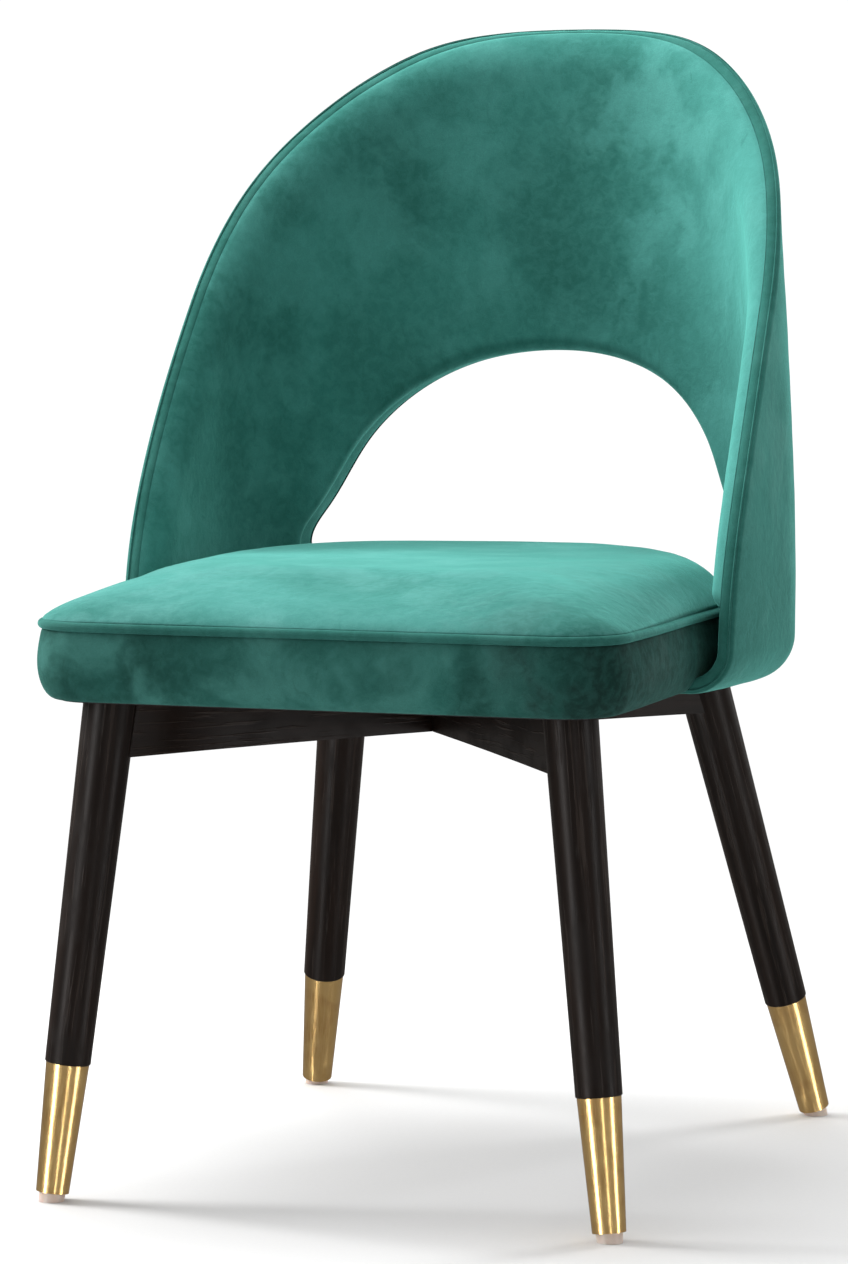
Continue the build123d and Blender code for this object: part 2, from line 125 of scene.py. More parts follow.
def resample(points, count, extra=None):
    """A polyline cut again into evenly spaced points. Extra columns are carried along."""
    points = np.asarray(points, float)
    steps = np.linalg.norm(np.diff(points, axis=0), axis=1)
    run = np.concatenate([[0.0], np.cumsum(steps)])
    where = np.linspace(0, run[-1], count)
    data = points if extra is None else np.hstack([points, extra])
    return np.stack([np.interp(where, run, column) for column in data.T], axis=1)


def ripple(points, length, seed):
    """Smooth made-up relief, mostly between -1 and 1, with a given wave length."""
    draw = np.random.RandomState(seed)
    total = 0.0
    for _ in range(RIPPLE_WAVES):
        way = draw.normal(size=3)
        way *= draw.uniform(0.6, 1.5) * 2 * math.pi / length / np.linalg.norm(way)
        total = total + np.sin(points @ way + draw.uniform(0, 6.28))
    return total / RIPPLE_PEAK


# ---------------------------------------------------------------- meshes


def make_mesh(name, vertices, faces, material):
    """A smooth mesh object from vertices in millimetres."""
    mesh = bpy.data.meshes.new(name)
    mesh.from_pydata((np.asarray(vertices) * MM).tolist(), [], faces)
    mesh.polygons.foreach_set("use_smooth", [True] * len(mesh.polygons))
    mesh.materials.append(material)
    mesh.update()
    piece = bpy.data.objects.new(name, mesh)
    bpy.context.scene.collection.objects.link(piece)
    return piece


def grid_faces(rows, columns, closed, flip=False):
    """Quads of a grid written row by row. A closed grid joins its last column to its first."""
    faces = []
    for r in range(rows - 1):
        for c in range(columns if closed else columns - 1):
            here, beside = r * columns + c, r * columns + (c + 1) % columns
            quad = (here, beside, beside + columns, here + columns)
            faces.append(quad[::-1] if flip else quad)
    return faces


def grid_object(name, grid, material, closed=True, flip=False):
    """A mesh object from a grid of points, shape (rows, columns, 3), in millimetres."""
    rows, columns, _ = grid.shape
    return make_mesh(name, grid.reshape(-1, 3), grid_faces(rows, columns, closed, flip), material)


def cord_object(name, path, ahead, normals, radius, sides, material, closed):
    """A round cord along a path. ahead points along it, and normals away from the piece."""
    ahead = unit(ahead)
    across = unit(normals - ahead * np.sum(normals * ahead, axis=1)[:, None])
    beside = np.cross(ahead, across)
    turns = np.linspace(0, 2 * math.pi, sides, endpoint=False)
    rings = [path + radius * (math.cos(t) * across + math.sin(t) * beside) for t in turns]
    return grid_object(name, np.stack(rings + rings[:1]), material, closed)


# ---------------------------------------------------------------- materials


def new_material(name):
    """A material with only its Principled shader, and that shader."""
    material = bpy.data.materials.new(name)
    material.use_nodes = True
    tree = material.node_tree
    tree.nodes.clear()
    shader = tree.nodes.new("ShaderNodeBsdfPrincipled")
    output = tree.nodes.new("ShaderNodeOutputMaterial")
    tree.links.new(shader.outputs["BSDF"], output.inputs["Surface"])
    return material, tree, shader


def fill_in(tree, socket, value):
    """Sets a socket to a number or colour, or links another node's output to it."""
    if isinstance(value, bpy.types.NodeSocket):
        tree.links.new(value, socket)
    else:
        socket.default_value = value


def add_node(tree, kind, inputs, **settings):
    """A node with its settings, whose inputs are numbers or other nodes' outputs."""
    node = tree.nodes.new(kind)
    for key, value in settings.items():
        setattr(node, key, value)
    for key, value in inputs.items():
        fill_in(tree, node.inputs[key], value)
    return node


def finish_shader(tree, shader, **inputs):
    """Fills in the shader's sockets, named with underscores for spaces."""
    for key, value in inputs.items():
        fill_in(tree, shader.inputs[key.replace("_", " ")], value)


def place(tree, scale=(1, 1, 1), turn=None):
    """Object coordinates, rotated and then stretched."""
    socket = add_node(tree, "ShaderNodeTexCoord", {}).outputs["Object"]
    if turn is not None:
        inputs = {"Vector": socket, "Rotation": turn}
        socket = add_node(tree, "ShaderNodeMapping", inputs).outputs[0]
    return add_node(tree, "ShaderNodeMapping", {"Vector": socket, "Scale": scale}).outputs[0]


def noise(tree, vector, scale, detail, rough=0.55, warp=0.0):
    """Noise between 0 and 1."""
    inputs = {"Vector": vector, "Scale": scale, "Detail": detail, "Roughness": rough}
    return add_node(tree, "ShaderNodeTexNoise", {**inputs, "Distortion": warp}).outputs["Fac"]


def remap(tree, socket, low, high, new_low=0.0, new_high=1.0):
    """A value stretched from one range to another, and held inside it."""
    inputs = {"Value": socket, "From Min": low, "From Max": high}
    inputs.update({"To Min": new_low, "To Max": new_high})
    return add_node(tree, "ShaderNodeMapRange", inputs, interpolation_type="SMOOTHSTEP").outputs[0]


def blend(tree, factor, first, second, mode="MIX"):
    """Two colours mixed."""
    node = tree.nodes.new("ShaderNodeMix")
    node.data_type = "RGBA"
    node.blend_type = mode
    factor_in, first_in, second_in = node.inputs[0], node.inputs[6], node.inputs[7]
    for socket, value in ((factor_in, factor), (first_in, first), (second_in, second)):
        fill_in(tree, socket, value)
    return node.outputs[2]


def share_of(tree, socket, amount):
    """A value between 0 and 1 eased and scaled to an amount."""
    return remap(tree, socket, 0.0, 1.0, 0.0, amount)


def bump(tree, height, strength, distance, below=None):
    """A bump, laid over another where one is given."""
    inputs = {"Height": height, "Strength": strength, "Distance": distance}
    if below is not None:
        inputs["Normal"] = below
    return add_node(tree, "ShaderNodeBump", inputs).outputs[0]


SHEEN_TINT = (0.22, 0.80, 0.70, 1)
MOTTLE_SHARE, MARKS_SHARE = 0.14, 0.34
PAINTED_SIDE_WANDER = 0.03


def velvet_material(name, dark, mid, light, sheen=0.62, painted_side_light=None, crushed=0.18):
    """Velvet: broad nap patches, clouds, mottling, creased marks and fine pile under a sheen.

    The argument after sheen, (x where it starts, x where it is full, amount, colour), blends the
    colour towards that tone on the +X side: painted light where the tone is paler, painted shade
    where it is darker. crushed is how strongly the clouds show.
    """
    material, tree, shader = new_material(name)
    here = place(tree)
    patches = remap(tree, noise(tree, here, 4.6, detail=2.5, rough=0.5, warp=0.9), 0.32, 0.70)
    clouds = remap(tree, noise(tree, here, 17.0, detail=4.0, rough=0.58, warp=0.35), 0.36, 0.72)
    mottle = remap(tree, noise(tree, here, 120.0, detail=4.0, rough=0.6, warp=0.5), 0.25, 0.75)
    creases = noise(tree, place(tree, (75, 30, 22)), 1.0, detail=5.0, rough=0.66, warp=2.4)
    marks = remap(tree, creases, 0.58, 0.76)
    pile = noise(tree, here, 1700.0, detail=2.0, rough=0.7)

    colour = blend(tree, patches, dark, mid)
    colour = blend(tree, share_of(tree, clouds, crushed), colour, light)
    if painted_side_light:
        start, full, amount, painted_side_tone = painted_side_light
        across = add_node(tree, "ShaderNodeSeparateXYZ", {"Vector": here}).outputs["X"]
        wander = remap(tree, clouds, 0.0, 1.0, -PAINTED_SIDE_WANDER, PAINTED_SIDE_WANDER)
        edge = add_node(tree, "ShaderNodeMath", {0: across, 1: wander}, operation="ADD").outputs[0]
        # Painted light and shade: towards +X the colour is blended to a given paler or darker tone.
        colour = blend(tree, remap(tree, edge, start, full, 0.0, amount), colour, painted_side_tone)
    colour = blend(tree, share_of(tree, mottle, MOTTLE_SHARE), colour, light)
    colour = blend(tree, share_of(tree, marks, MARKS_SHARE), colour, dark)
    speck = remap(tree, pile, 0.25, 0.75, 0.74, 1.0)
    tone = add_node(tree, "ShaderNodeCombineColor", {"Red": speck, "Green": speck, "Blue": speck})
    colour = blend(tree, 1.0, colour, tone.outputs[0], "MULTIPLY")

    relief = bump(tree, clouds, strength=0.25, distance=0.0012)
    relief = bump(tree, mottle, strength=0.3, distance=0.0005, below=relief)
    relief = bump(tree, pile, strength=0.45, distance=0.0003, below=relief)
    rough = remap(tree, clouds, 0.0, 1.0, 0.95, 0.78)
    finish_shader(tree, shader, Base_Color=colour, Roughness=rough, Normal=relief)
    shader.inputs["Specular IOR Level"].default_value = 0.08
    shader.inputs["Sheen Weight"].default_value = sheen
    shader.inputs["Sheen Roughness"].default_value = 0.34
    shader.inputs["Sheen Tint"].default_value = SHEEN_TINT
    return material


def turn_to_z(axis):
    """The rotation that stands an axis upright."""
    return Vector(axis).rotation_difference(Vector((0, 0, 1))).to_euler()


WOOD_DARK, WOOD_LIGHT = (0.0052, 0.0025, 0.0015, 1), (0.0115, 0.0056, 0.0034, 1)
WOOD_PORE = (0.030, 0.020, 0.015, 1)
WOOD_GLOSSY, WOOD_WORN = (0.36, 0.36, 0.36, 1), (0.5, 0.5, 0.5, 1)


def wood_material(name, axis):
    """Black-brown stained ash with open pores along an axis."""
    material, tree, shader = new_material(name)
    turn = turn_to_z(axis)
    along = noise(tree, place(tree, (330, 330, 9), turn), 1.0, detail=3.0, rough=0.6, warp=0.4)
    rings = noise(tree, place(tree, (60, 60, 3), turn), 1.0, detail=4.0, rough=0.6, warp=1.5)
    pores = remap(tree, along, 0.56, 0.66)
    wear = remap(tree, noise(tree, place(tree), 28.0, detail=4.0, rough=0.6), 0.45, 0.7)
    colour = blend(tree, remap(tree, rings, 0.3, 0.7), WOOD_DARK, WOOD_LIGHT)
    colour = blend(tree, share_of(tree, pores, 0.5), colour, WOOD_PORE)
    relief = bump(tree, pores, strength=0.5, distance=0.00025)
    relief = bump(tree, rings, strength=0.2, distance=0.0004, below=relief)
    rough = blend(tree, wear, WOOD_GLOSSY, WOOD_WORN)
    finish_shader(tree, shader, Base_Color=colour, Roughness=rough, Normal=relief)
    shader.inputs["Specular IOR Level"].default_value = 0.13
    return material


BRASS, BRASS_TARNISHED = (0.80, 0.54, 0.215, 1), (0.66, 0.405, 0.145, 1)
BRASS_STROKE = (0.90, 0.68, 0.35, 1)


def brass_material(name, axis):
    """Brass with brush strokes along an axis, a little darker in patches."""
    material, tree, shader = new_material(name)
    turn = turn_to_z(axis)
    strokes = noise(tree, place(tree, (1500, 1500, 7), turn), 1.0, detail=3.0, rough=0.65)
    patches = noise(tree, place(tree), 32.0, detail=4.0, rough=0.6, warp=0.8)
    colour = blend(tree, remap(tree, patches, 0.4, 0.75), BRASS, BRASS_TARNISHED)
    colour = blend(tree, remap(tree, strokes, 0.35, 0.7, 0.0, 0.35), colour, BRASS_STROKE)
    rough = remap(tree, strokes, 0.3, 0.7, 0.17, 0.27)
    relief = bump(tree, strokes, strength=0.12, distance=0.00004)
    finish_shader(tree, shader, Base_Color=colour, Roughness=rough, Normal=relief)
    shader.inputs["Metallic"].default_value = 1.0
    shader.inputs["Anisotropic"].default_value = 0.5
    return material


GRAIN_FINER = 22
ROUGH_SPREAD = 0.08


def plain_material(name, first, second, scale, rough, metallic=0.0, relief=0.2, subsurface=0.0):
    """A finish that varies between two colours, with fine relief."""
    material, tree, shader = new_material(name)
    here = place(tree)
    cloud = noise(tree, here, scale, detail=4.0, rough=0.6, warp=0.5)
    grain = noise(tree, here, scale * GRAIN_FINER, detail=2.0, rough=0.6)
    colour = blend(tree, remap(tree, cloud, 0.3, 0.7), first, second)
    varied = remap(tree, grain, 0.2, 0.8, rough - ROUGH_SPREAD, rough + ROUGH_SPREAD)
    grooves = bump(tree, grain, relief, distance=0.0002)
    finish_shader(tree, shader, Base_Color=colour, Roughness=varied, Normal=grooves)
    shader.inputs["Metallic"].default_value = metallic
    shader.inputs["Subsurface Weight"].default_value = subsurface
    shader.inputs["Subsurface Scale"].default_value = 0.004
    return material


COVER_LIGHT = (0.062, 0.25, 0.215, 1)
velvet = velvet_material(
    "velvet", (0.013, 0.086, 0.070, 1), (0.025, 0.140, 0.116, 1), COVER_LIGHT
)
# The back's inner cover: the same velvet painted lighter all over, which is painted light, and
# blended paler still towards +X, which is more painted light.
BACK_PALE_PAINTED_LIT = (0.10, 0.38, 0.34, 1)
velvet_pad_painted_lit = velvet_material(
    "velvet_back_painted_lit",
    (0.019, 0.118, 0.097, 1),
    (0.034, 0.180, 0.152, 1),
    BACK_PALE_PAINTED_LIT,
    sheen=0.6,
    painted_side_light=(0.02, 0.17, 0.38, BACK_PALE_PAINTED_LIT),
    crushed=0.24,
)
# The seat's top: the same velvet painted lighter, which is painted light from above, and blended
# darker towards +X, which is painted shade beside the shell.
velvet_top_painted_lit = velvet_material(
    "velvet_seat_painted_lit",
    (0.026, 0.140, 0.118, 1),
    (0.052, 0.215, 0.190, 1),
    (0.135, 0.38, 0.355, 1),
    sheen=0.66,
    painted_side_light=(0.06, 0.20, 0.62, (0.012, 0.078, 0.064, 1)),
    crushed=0.28,
)
# The seat's boxing and the gap lining: the same velvet painted darker, which is painted shade, and
# blended to near black towards +X, which is more painted shade.
velvet_side_painted_shade = velvet_material(
    "velvet_boxing_painted_shade",
    (0.006, 0.048, 0.038, 1),
    (0.020, 0.115, 0.096, 1),
    (0.060, 0.230, 0.200, 1),
    sheen=0.14,
    painted_side_light=(0.13, 0.21, 0.9, (0.002, 0.018, 0.014, 1)),
    crushed=0.55,
)
velvet_cord = velvet_material(
    "velvet_cord", (0.015, 0.090, 0.074, 1), (0.022, 0.125, 0.105, 1), COVER_LIGHT, sheen=0.42
)
plastic = plain_material(
    "glide_plastic",
    (0.60, 0.47, 0.40, 1),
    (0.68, 0.56, 0.49, 1),
    scale=60.0,
    rough=0.42,
    relief=0.1,
    subsurface=0.2,
)
steel = plain_material(
    "steel", (0.42, 0.42, 0.43, 1), (0.55, 0.55, 0.56, 1), scale=90.0, rough=0.35, metallic=1.0
)
beech = plain_material(
    "beech", (0.52, 0.34, 0.19, 1), (0.62, 0.43, 0.26, 1), scale=45.0, rough=0.55
)
plywood = plain_material(
    "plywood", (0.40, 0.28, 0.17, 1), (0.52, 0.38, 0.25, 1), scale=30.0, rough=0.6
)
black_cloth = plain_material(
    "black_cloth",
    (0.010, 0.010, 0.011, 1),
    (0.022, 0.022, 0.024, 1),
    scale=220.0,
    rough=0.9,
    relief=0.9,
)

LEG_AXES = {
    "front_left": (41.0, 26.5, 391.4),
    "front_right": (-41.0, 26.5, 391.4),
    "back_left": (72.0, -112.0, 391.4),
    "back_right": (-72.0, -112.0, 391.4),
}
NODE_FINISH = {
    "glide_nails": steel,
    "frame_bolts": steel,
    "tee_nuts": steel,
    "shell_screws": steel,
    "rail_dowels": beech,
    "seat_board": plywood,
    "back_shell_ply": plywood,
    "dust_cover": black_cloth,
    "cross_rail_left": wood_material("black_wood_rail_left", (0.66, 0.75, 0.0)),
    "cross_rail_right": wood_material("black_wood_rail_right", (-0.66, 0.75, 0.0)),
}
for spot, axis in LEG_AXES.items():
    NODE_FINISH["leg_" + spot] = wood_material("black_wood_" + spot, axis)
    NODE_FINISH["ferrule_" + spot] = brass_material("brass_" + spot, axis)
    NODE_FINISH["glide_" + spot] = plastic
for node, finish in NODE_FINISH.items():
    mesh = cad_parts[node].data
    mesh.materials.clear()
    mesh.materials.append(finish)

# ---------------------------------------------------------------- back shell: its surfaces

UNDER_COUNT = 30
station_curve = clamped_spline(STATIONS, (1, 0), (1, -0.01), 400)
rim_side = clamped_spline(RIM, (0, 1), (1, 0.12), 6000)
rim_slope = unit(np.gradient(rim_side, axis=0))


def half_width(z):
    """Half the shell's width at a height."""
    return np.interp(z, station_curve[:, 0], station_curve[:, 1])


def rear_reach(z, inset):
    """How far the shell reaches behind its widest line at a height."""
    return REAR_AT_SEAM + LEAN * (z - SEAM_LEVEL) - WIDEST_Y - inset


def shell_profile(w, depth):
    """Height and inset on the shell at a distance w up its side.

    Below 0, w runs round the lower edge and then under the seat.
    """
    phi = np.clip(-w, 0, SHELL_TURN) / SHELL_ROUND
    radius = SHELL_ROUND - depth
    z = np.where(w >= 0, SHELL_LEVEL + w, SHELL_LEVEL - radius * np.sin(phi))
    beyond = np.clip(-w - SHELL_TURN, 0, None)
    inset = depth + np.where(w >= 0, 0.0, radius * (1 - np.cos(phi)) + beyond)
    return z, inset


def shell_point(theta, w, depth):
    """Point of the shell at an angle from the rear middle, a distance w and a depth into it."""
    z, inset = shell_profile(w, depth)
    reach = np.where(np.cos(theta) >= 0, rear_reach(z, inset), FRONT_REACH - inset)
    x = (half_width(z) - inset) * np.sin(theta)
    return np.stack([x, WIDEST_Y + reach * np.cos(theta), z], axis=-1)


def on_shell(rows, depth):
    """Points of the shell for rows of theta and w."""
    return shell_point(rows[..., 0], rows[..., 1], depth)


def rim_half(depth):
    """The rim on the +X side from the top middle down to its end under the seat.

    Each row has theta, w, and the y and z of the normal seen from the side.
    """
    y, z = rim_side[:, 0], rim_side[:, 1]
    radius = SHELL_ROUND - depth
    phi = np.arcsin(np.clip((SHELL_LEVEL - z) / radius, 0, 1))
    w = np.where(z >= SHELL_LEVEL, z - SHELL_LEVEL, -SHELL_ROUND * phi)
    inset = depth + np.where(z >= SHELL_LEVEL, 0.0, radius * (1 - np.cos(phi)))
    reach = np.where(y >= WIDEST_Y, rear_reach(z, inset), FRONT_REACH - inset)
    share = (y - WIDEST_Y) / reach
    keep = (share < 1.0) & (z > SHELL_BOTTOM + depth)
    theta = np.arccos(np.clip(share, -1, 1))
    rows = np.stack([theta, w, -rim_slope[:, 1], rim_slope[:, 0]], axis=1)[keep]
    top = rows[-1].copy()
    top[0] = 0.0
    run = np.linspace(0, UNDER, UNDER_COUNT)
    under = np.zeros((UNDER_COUNT, 4))
    under[:, 0] = np.arccos((RIM[0][0] - WIDEST_Y) / (FRONT_REACH - (SHELL_ROUND + run)))
    under[:, 1] = -SHELL_TURN - run
    under[:, 2] = -1.0
    return np.vstack([under[::-1], rows, top[None]])[::-1]


def even_rim(depth, count, bottom=None):
    """The half rim at a depth, evenly spaced, from the top middle to its end or to a height."""
    rows = rim_half(depth)
    if bottom is not None:
        w_end = bottom - SHELL_LEVEL
        above = rows[rows[:, 1] > w_end]
        below = rows[rows[:, 1] <= w_end][0]
        share = (above[-1, 1] - w_end) / (above[-1, 1] - below[1])
        rows = np.vstack([above, above[-1] + (below - above[-1]) * share])
    return resample(on_shell(rows, depth), count, rows)[:, 3:]


def both_sides(half):
    """A half loop from the top middle to the bottom middle, closed with its mirror image."""
    other = half[-2:0:-1].copy()
    other[:, 0] *= -1
    return np.vstack([half, other])


hole_curve = clamped_spline(HOLE, (1, 0), (-1, 0), 3000)[::-1]
hole_widest = int(np.argmax(hole_curve[:, 0]))
COUNT_RIM, COUNT_SIDE, COUNT_FOOT = 260, 70, 50


def hole_half(depth):
    """The cut-out's edge on the +X side from the top middle to the bottom middle."""
    arch = resample(hole_curve[: hole_widest + 1], COUNT_RIM)
    corner = resample(hole_curve[hole_widest:], COUNT_SIDE + 1)[1:]
    foot = np.linspace(corner[-1, 0], 0, COUNT_FOOT + 1)[1:]
    line = np.vstack([arch, corner, np.stack([foot, np.full(COUNT_FOOT, HOLE_FLOOR)], axis=1)])
    theta = np.arcsin(np.clip(line[:, 0] / (half_width(line[:, 1]) - depth), -1, 1))
    return np.stack([theta, line[:, 1] - SHELL_LEVEL], axis=1)


def outer_half(depth, bottom_w, bottom=None):
    """A panel's outer edge on the +X side, cut to match hole_half point for point."""
    rim = even_rim(depth, COUNT_RIM, bottom)[:, :2]
    corner_theta = hole_half(depth)[COUNT_RIM + COUNT_SIDE - 1, 0]
    side = np.linspace(rim[-1, 0], corner_theta, COUNT_SIDE + 1)[1:]
    foot = np.linspace(corner_theta, 0, COUNT_FOOT + 1)[1:]
    theta = np.concatenate([side, foot])
    return np.vstack([rim, np.stack([theta, np.full(len(theta), bottom_w)], axis=1)])


# Distances of the rows beside an edge, and the largest share of a row they may take together.
NEAR_EDGE = np.array([0, 0.4, 1.0, 1.8, 2.8, 4.0, 5.6, 7.6, 10, 13, 17, 22], float)
NEAR_SHARE = 0.42
MIDDLE_ROWS = 44


def panel_rows(inner, outer, depth):
    """Theta and w on rows from the cut-out's edge to the outer edge, denser near both."""
    ends = on_shell(inner, depth) - on_shell(outer, depth)
    length = np.maximum(np.linalg.norm(ends, axis=1), 1.0)
    squeeze = np.minimum(1.0, NEAR_SHARE * length / NEAR_EDGE[-1])
    near = NEAR_EDGE[:, None] * squeeze / length
    middle = np.linspace(near[-1], 1 - near[-1], MIDDLE_ROWS + 2)[1:-1]
    share = np.vstack([near, middle, 1 - near[::-1]])[..., None]
    return inner[None] + (outer - inner)[None] * share


def rim_part(line):
    """The points of a panel's closed outer edge that lie on the rim."""
    return line[np.r_[0:COUNT_RIM, len(line) - COUNT_RIM + 1 : len(line)]]


def foot_part(line):
    """The points of a panel's closed outer edge that lie along its foot."""
    return line[COUNT_RIM - 1 : len(line) - COUNT_RIM + 2]


def distance_to(points, line):
    """Distance from each grid point to a polyline's points, row by row."""
    squares = (((row[:, None, :] - line[None]) ** 2).sum(-1).min(1) for row in points)
    return np.stack([np.sqrt(square) for square in squares])


def rounding(distance, radius):
    """How far an edge has still to rise, 1 at the edge and 0 from the radius on."""
    return 1 - np.clip(distance / radius, 0, 1)


def turned_edge(distance, radius):
    """How far a rounded edge turns in, 1 at the edge and 0 from the radius on."""
    return 1 - np.sqrt(np.clip(1 - rounding(distance, radius) ** 2, 0, 1))


# ---------------------------------------------------------------- back: outer cover

COVER_RIM_ROUND, COVER_RIM_DEPTH = 3.0, 2.8
COVER_HOLE_ROUND, COVER_HOLE_DEPTH = 2.6, 2.4
COVER_FULL, COVER_FULL_WITHIN = 0.9, 16.0

inner_edge = both_sides(hole_half(0.0))
outer_edge = both_sides(outer_half(0.0, -SHELL_TURN - UNDER))
rows = panel_rows(inner_edge, outer_edge, 0.0)
flat = on_shell(rows, 0.0)
rim_distance = distance_to(flat, rim_part(on_shell(outer_edge, 0.0)))
hole_distance = distance_to(flat, on_shell(inner_edge, 0.0))
fullness = 1 - np.exp(-np.minimum(rim_distance, hole_distance) / COVER_FULL_WITHIN)
waves = 0.45 * ripple(flat, 150.0, 3) + 0.12 * ripple(flat, 38.0, 4)
cover_depth = (
    COVER_RIM_DEPTH * turned_edge(rim_distance, COVER_RIM_ROUND)
    + COVER_HOLE_DEPTH * turned_edge(hole_distance, COVER_HOLE_ROUND)
    - fullness * (COVER_FULL + waves)
)
outer_cover = grid_object("outer_cover", on_shell(rows, cover_depth), velvet)
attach(outer_cover, "root")
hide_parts("back_outer_cover")

# ---------------------------------------------------------------- back: rim band and its bead

# Across the band: depth into the shell, and height above the shell's edge.
BAND_STEPS = (
    (2.5, -1.6),
    (3.0, -0.4),
    (4.2, 0.35),
    (7.0, 0.6),
    (9.8, 0.35),
    (10.9, -0.4),
    (11.4, -1.6),
)
BAND_COUNT = 420
BEAD_DEPTH, BEAD_LIFT, BEAD_RADIUS, BEAD_SIDES = 2.8, 0.2, 0.85, 10


def rim_rail(depth, lift):
    """The whole rim at a depth, from under the seat round to the other side, lifted off it."""
    half = even_rim(depth, BAND_COUNT)
    points = on_shell(half, depth)
    points[:, 1] += half[:, 2] * lift
    points[:, 2] += half[:, 3] * lift
    mirrored = points[:0:-1] * np.array([-1.0, 1.0, 1.0])
    return np.vstack([mirrored, points])


band_grid = np.stack([rim_rail(depth, lift) for depth, lift in BAND_STEPS])
band_grid[..., 2] += 0.18 * ripple(band_grid, 14.0, 8)
rim_band = grid_object("rim_band", band_grid, velvet, closed=False, flip=True)
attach(rim_band, "root")
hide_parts("back_rim_band")

half = even_rim(BEAD_DEPTH, BAND_COUNT)
bead_path = rim_rail(BEAD_DEPTH, BEAD_LIFT)
bead_normals = np.vstack([half[:0:-1], half])[:, [0, 2, 3]] * np.array([0.0, 1.0, 1.0])
bead_ahead = np.gradient(bead_path, axis=0)
rim_bead = cord_object(
    "rim_bead", bead_path, bead_ahead, bead_normals, BEAD_RADIUS, BEAD_SIDES, velvet_cord, False
)
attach(rim_bead, "root")

# ---------------------------------------------------------------- back: padded inside

PAD_HOLE_INSET = 17.0
PAD_RIM_ROUND, PAD_FOOT_ROUND, PAD_HOLE_ROUND = 30.0, 14.0, 11.0
PAD_HOLE_FALL = 0.927
PAD_POWER = 0.6
PAD_EDGE_DEPTH = 0.6
WRAP_DEPTH = 1.2
# From the cut-out's rear edge to the pad: share of the way, and how far it swells into the hole.
WRAP_STEPS = ((0.0, 1.6), (0.05, 0.4), (0.16, -0.2), (0.4, -0.5), (0.7, -0.3), (0.9, 0.0))

w_pad = PAD_BOTTOM - SHELL_LEVEL
inner_edge = both_sides(hole_half(PAD_HOLE_INSET))
outer_edge = both_sides(outer_half(PAD_DEPTH, w_pad, PAD_BOTTOM))
rows = panel_rows(inner_edge, outer_edge, PAD_DEPTH)
flat = on_shell(rows, PAD_DEPTH)
outer_line = on_shell(outer_edge, PAD_DEPTH)
hole_line = on_shell(inner_edge, PAD_DEPTH)
from_rim = rounding(distance_to(flat, rim_part(outer_line)), PAD_RIM_ROUND)
from_foot = rounding(distance_to(flat, foot_part(outer_line)), PAD_FOOT_ROUND)
from_hole = PAD_HOLE_FALL * rounding(distance_to(flat, hole_line), PAD_HOLE_ROUND)
rise = np.clip(1 - from_rim**2 - from_foot**2 - from_hole**2, 0, 1) ** PAD_POWER
soft = 0.5 * ripple(flat, 170.0, 11) + 0.16 * ripple(flat, 42.0, 12)
pad_depth = PAD_DEPTH + (PAD_RISE + soft) * rise
pad_depth[0] = np.maximum(pad_depth[0], PAD_DEPTH + PAD_EDGE_DEPTH)
pad_surface = on_shell(rows, pad_depth)
rear_edge = on_shell(both_sides(hole_half(0.0)), WRAP_DEPTH)
wrap_rows = []
for share, swell in WRAP_STEPS:
    row = rear_edge + (pad_surface[0] - rear_edge) * share
    away = unit((row - np.array(HOLE_MIDDLE)) * np.array([1.0, 0.0, 1.0]))
    wrap_rows.append(row + away * swell)
pad_grid = np.concatenate([np.stack(wrap_rows), pad_surface])
back_pad = grid_object("back_pad", pad_grid, velvet_pad_painted_lit, flip=True)
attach(back_pad, "root")
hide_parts("back_inner_cover", "back_pad_foam")

# The cloth on the inside of the shell below the pad, beside the seat and over the flange, in the
# darker velvet: painted shade between seat and shell.
LINING_ANGLE = 1.77
LINING_TOP, LINING_END = w_pad + 3.0, -112.0
angles = np.linspace(-LINING_ANGLE, LINING_ANGLE, 300)
theta_grid, w_grid = np.meshgrid(angles, np.linspace(LINING_TOP, LINING_END, 48))
lining_grid = shell_point(theta_grid, w_grid, PAD_DEPTH + 0.5)
lining = grid_object("gap_lining", lining_grid, velvet_side_painted_shade, closed=False)
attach(lining, "root")

# ---------------------------------------------------------------- seat: its outline

SEAT_COUNT = 640

corner_x, corner_y = SEAT_SIDE[0][0] - SEAT_CORNER, SEAT_FRONT + SEAT_CORNER
front_line = np.array([(0.0, SEAT_FRONT), (corner_x, SEAT_FRONT)])
turn = np.linspace(-QUARTER_TURN, 0, 60)
corner_line = np.stack(
    [corner_x + SEAT_CORNER * np.cos(turn), corner_y + SEAT_CORNER * np.sin(turn)], axis=1
)
side_line = clamped_spline(SEAT_SIDE, (0, 1), (-1, 0), 1200)
seat_line = np.vstack([front_line, corner_line[1:], side_line[1:]])
outline = both_sides(resample(seat_line, SEAT_COUNT // 2 + 1))
step = unit(np.roll(outline, -1, axis=0) - np.roll(outline, 1, axis=0))
outline = np.hstack([outline, np.full((SEAT_COUNT, 1), SEAM_Z)])
outward = np.stack([step[:, 1], -step[:, 0], np.zeros(SEAT_COUNT)], axis=1)


def seat_ring(inset, z):
    """The seat's outline moved in by a distance, at a height."""
    ring = outline - outward * np.reshape(inset, (-1, 1))
    ring[:, 2] = z
    return ring


# ---------------------------------------------------------------- seat: crowned cushion

